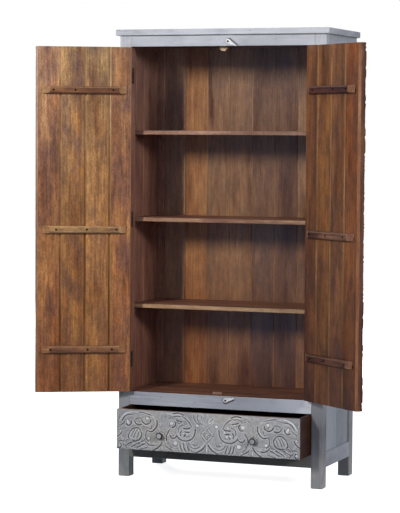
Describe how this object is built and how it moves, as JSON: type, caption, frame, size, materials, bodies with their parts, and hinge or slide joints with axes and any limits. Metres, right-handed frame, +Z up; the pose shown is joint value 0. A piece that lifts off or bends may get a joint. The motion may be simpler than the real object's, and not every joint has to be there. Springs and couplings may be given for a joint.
{
  "type": "cabinet",
  "caption": "Tall painted wooden cabinet: carved plank doors on butt hinges in front of fixed shelves, a carved drawer below and turn buttons on the rails.",
  "frame": {"origin": "on the floor under the middle of the case", "axes": "+X to the right seen from the front, +Y to the back, +Z up"},
  "size_m": [1.3879, 0.6824, 1.8],
  "materials": {
    "grey_paint": "worn matt grey-blue paint on solid wood",
    "brown_stain": "streaky brown stain on solid wood",
    "carved_paint": "silver-grey paint rubbed back on carving",
    "pale_wood": "bare pale wood",
    "dark_iron": "dark oiled iron",
    "grey_metal": "dull grey cast metal"
  },
  "bodies": {
    "case": {"top_panel": "grey_paint", "front_left_post": "grey_paint", "front_right_post": "grey_paint", "back_left_post": "grey_paint", "back_right_post": "grey_paint", "front_top_rail": "grey_paint", "front_middle_rail": "grey_paint", "front_bottom_rail": "grey_paint", "back_top_rail": "grey_paint", "back_bottom_rail": "grey_paint", "left_top_rail": "grey_paint", "right_top_rail": "grey_paint", "left_bottom_rail": "grey_paint", "right_bottom_rail": "grey_paint", "left_side_boards": "grey_paint", "right_side_boards": "grey_paint", "back_boards": "brown_stain", "cupboard_floor": "brown_stain", "lower_shelf": "brown_stain", "middle_shelf": "brown_stain", "upper_shelf": "brown_stain", "shelf_cleats": "brown_stain", "drawer_runners": "brown_stain", "upper_door_stop": "pale_wood", "lower_door_stop": "pale_wood", "post_hinge_leaves": "dark_iron", "hinge_pins": "dark_iron", "case_screws": "dark_iron", "latch_pivots": "grey_metal"},
    "left_door": {"left_door_plank_1": "brown_stain", "left_door_plank_2": "brown_stain", "left_door_plank_3": "brown_stain", "left_door_plank_4": "brown_stain", "left_door_carved_panel": "carved_paint", "left_door_batten_lower": "brown_stain", "left_door_batten_middle": "brown_stain", "left_door_batten_upper": "brown_stain", "left_door_screws": "dark_iron", "left_door_hinge_leaves": "dark_iron", "left_door_knob": "carved_paint"},
    "right_door": {"right_door_plank_1": "brown_stain", "right_door_plank_2": "brown_stain", "right_door_plank_3": "brown_stain", "right_door_plank_4": "brown_stain", "right_door_carved_panel": "carved_paint", "right_door_batten_lower": "brown_stain", "right_door_batten_middle": "brown_stain", "right_door_batten_upper": "brown_stain", "right_door_screws": "dark_iron", "right_door_hinge_leaves": "dark_iron", "right_door_knob": "carved_paint"},
    "drawer": {"drawer_front": "carved_paint", "drawer_left_side": "brown_stain", "drawer_right_side": "brown_stain", "drawer_back": "brown_stain", "drawer_bottom": "brown_stain", "drawer_knobs": "carved_paint"},
    "upper_button": {"upper_latch": "grey_metal"},
    "lower_button": {"lower_latch": "grey_metal"}
  },
  "joints": [
    {"name": "left_door_hinge", "type": "hinge", "parent": "case", "child": "left_door", "pos_m": [-0.3835, -0.2075, 1.0395], "axis": [0, 0, -1], "range_deg": [-151.5, 23.5]},
    {"name": "right_door_hinge", "type": "hinge", "parent": "case", "child": "right_door", "pos_m": [0.3835, -0.2075, 1.0395], "axis": [0, 0, 1], "range_deg": [-139.2, 35.8]},
    {"name": "drawer_slide", "type": "slide", "parent": "case", "child": "drawer", "axis": [0, -1, 0], "range_m": [-0.138, 0.112]},
    {"name": "upper_button_pivot", "type": "hinge", "parent": "case", "child": "upper_button", "pos_m": [0.028, -0.204, 1.75], "axis": [0, 1, 0], "range_deg": [-43, 63]},
    {"name": "lower_button_pivot", "type": "hinge", "parent": "case", "child": "lower_button", "pos_m": [0.028, -0.204, 0.33], "axis": [0, 1, 0], "range_deg": [-76, 40]}
  ]
}
